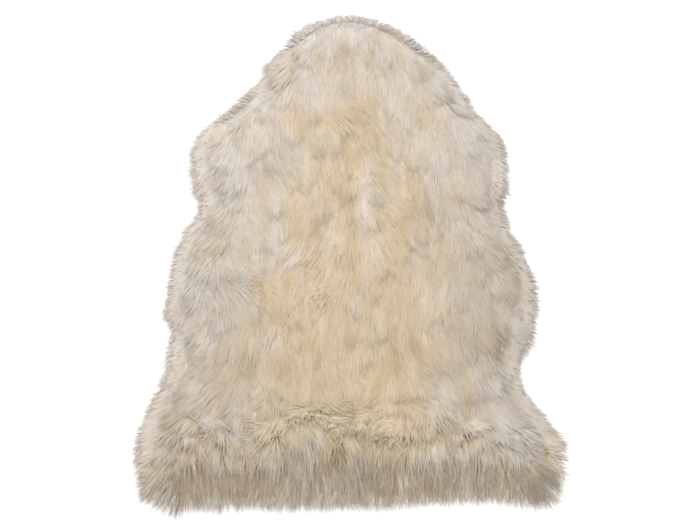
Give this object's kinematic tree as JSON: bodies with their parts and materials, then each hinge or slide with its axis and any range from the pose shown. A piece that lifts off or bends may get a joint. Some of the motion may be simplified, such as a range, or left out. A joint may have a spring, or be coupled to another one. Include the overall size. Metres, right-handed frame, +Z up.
{
  "type": "sheepskin rug",
  "caption": "Single tanned sheepskin lying flat with its long wool up, narrow at the neck, wide at the hind legs, with locks hanging over its edge.",
  "frame": {"origin": "on the floor, under the middle of the rug's box", "axes": "+Z up, out of the pile; +Y along the back towards the neck; +X to the right with the neck away from the viewer"},
  "size_m": [0.6208, 0.9238, 0.0678],
  "materials": {
    "wool": "long natural ivory wool, combed towards the tail, greyer and browner towards its edge",
    "hide": "suede flesh side of the tanned skin, on the underside"
  },
  "bodies": {
    "root": {"sheepskin": "wool"}
  },
  "joints": []
}
